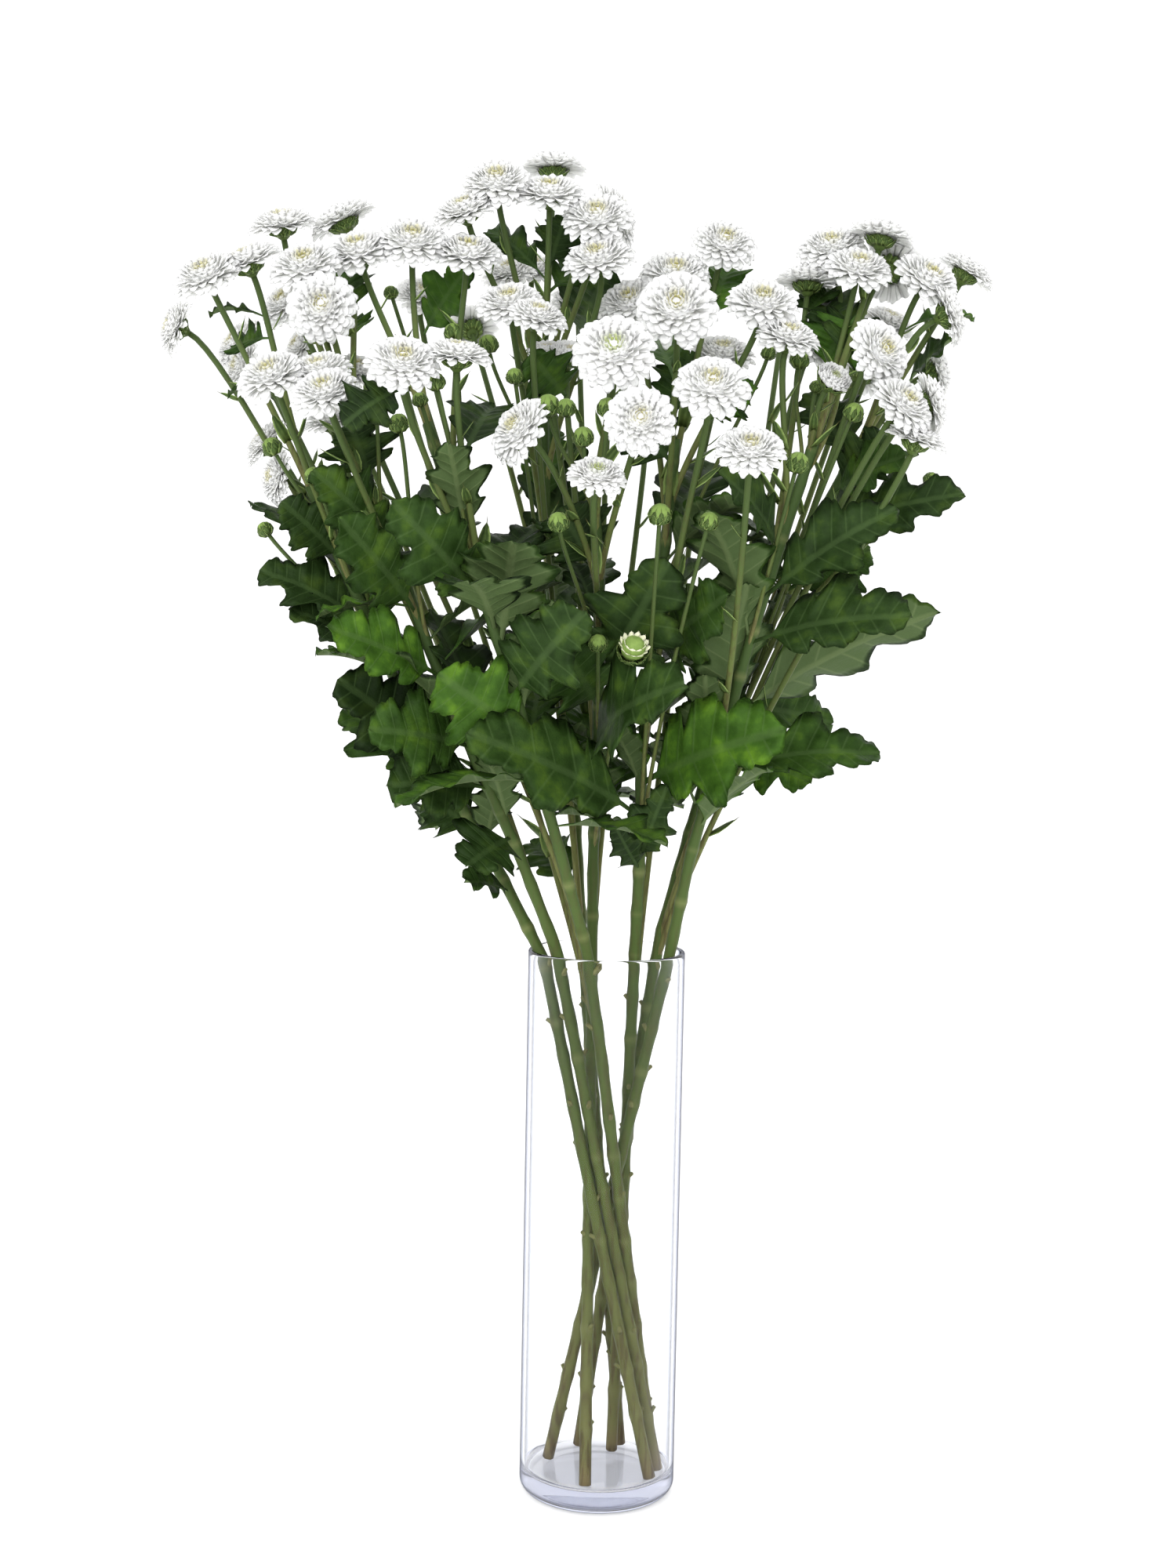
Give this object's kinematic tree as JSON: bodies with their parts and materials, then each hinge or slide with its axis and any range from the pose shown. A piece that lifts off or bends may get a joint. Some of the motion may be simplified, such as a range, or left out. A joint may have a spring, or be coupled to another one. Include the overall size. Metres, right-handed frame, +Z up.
{
  "type": "pompon chrysanthemum bunch in vase",
  "caption": "Cut spray stems of white pompon chrysanthemum, with button blooms, round buds and lobed leaves, standing in a clear glass cylinder vase.",
  "frame": {"origin": "centre of the vase's flat underside", "axes": "+Z up along the vase's axis, and the front looks along +Y, so the viewer is at -Y"},
  "size_m": [0.5388, 0.3443, 0.8626],
  "materials": {
    "petals": "matte",
    "foliage": "matte",
    "glass": "gloss"
  },
  "bodies": {
    "root": {"bloom_a1": "petals", "bloom_a2_a3": "petals", "bloom_a4_a5": "petals", "bloom_a6_b6_b7": "petals", "bloom_a7": "petals", "bloom_a8": "petals", "bloom_b1": "petals", "bloom_b10": "petals", "bloom_b2": "petals", "bloom_b3_b4_c1_c2_c3": "petals", "bloom_b5": "petals", "bloom_b8": "petals", "bloom_b9": "petals", "bloom_c4": "petals", "bloom_c5_c6": "petals", "bloom_c7": "petals", "bloom_c8": "petals", "bloom_d1": "petals", "bloom_d2": "petals", "bloom_d3": "petals", "bloom_d4": "petals", "bloom_d5_d6": "petals", "bloom_d7": "petals", "bloom_d8": "petals", "bloom_d9": "petals", "bloom_e1_e2": "petals", "bloom_e3": "petals", "bloom_e4": "petals", "bloom_e5_f6": "petals", "bloom_e6": "petals", "bloom_e7": "petals", "bloom_e8": "petals", "bloom_f1": "petals", "bloom_f2_f3_f4_f5": "petals", "bloom_f7": "petals", "bloom_f8": "petals", "bloom_f9": "petals", "bloom_g10": "petals", "bloom_g11": "petals", "bloom_g12": "petals", "bloom_g1_g2": "petals", "bloom_g3": "petals", "bloom_g4_g5_g7": "petals", "bloom_g6": "petals", "bloom_g8": "petals", "bloom_g9": "petals", "bloom_h12": "petals", "bloom_h1_h2_h7_h8_h9_h10": "petals", "bloom_h3_h11": "petals", "bloom_h4_h5": "petals", "bloom_h6": "petals", "spray_a": "foliage", "spray_b": "foliage", "spray_c": "foliage", "spray_d": "foliage", "spray_e": "foliage", "spray_f": "foliage", "spray_g": "foliage", "spray_h": "foliage", "vase": "glass"}
  },
  "joints": []
}
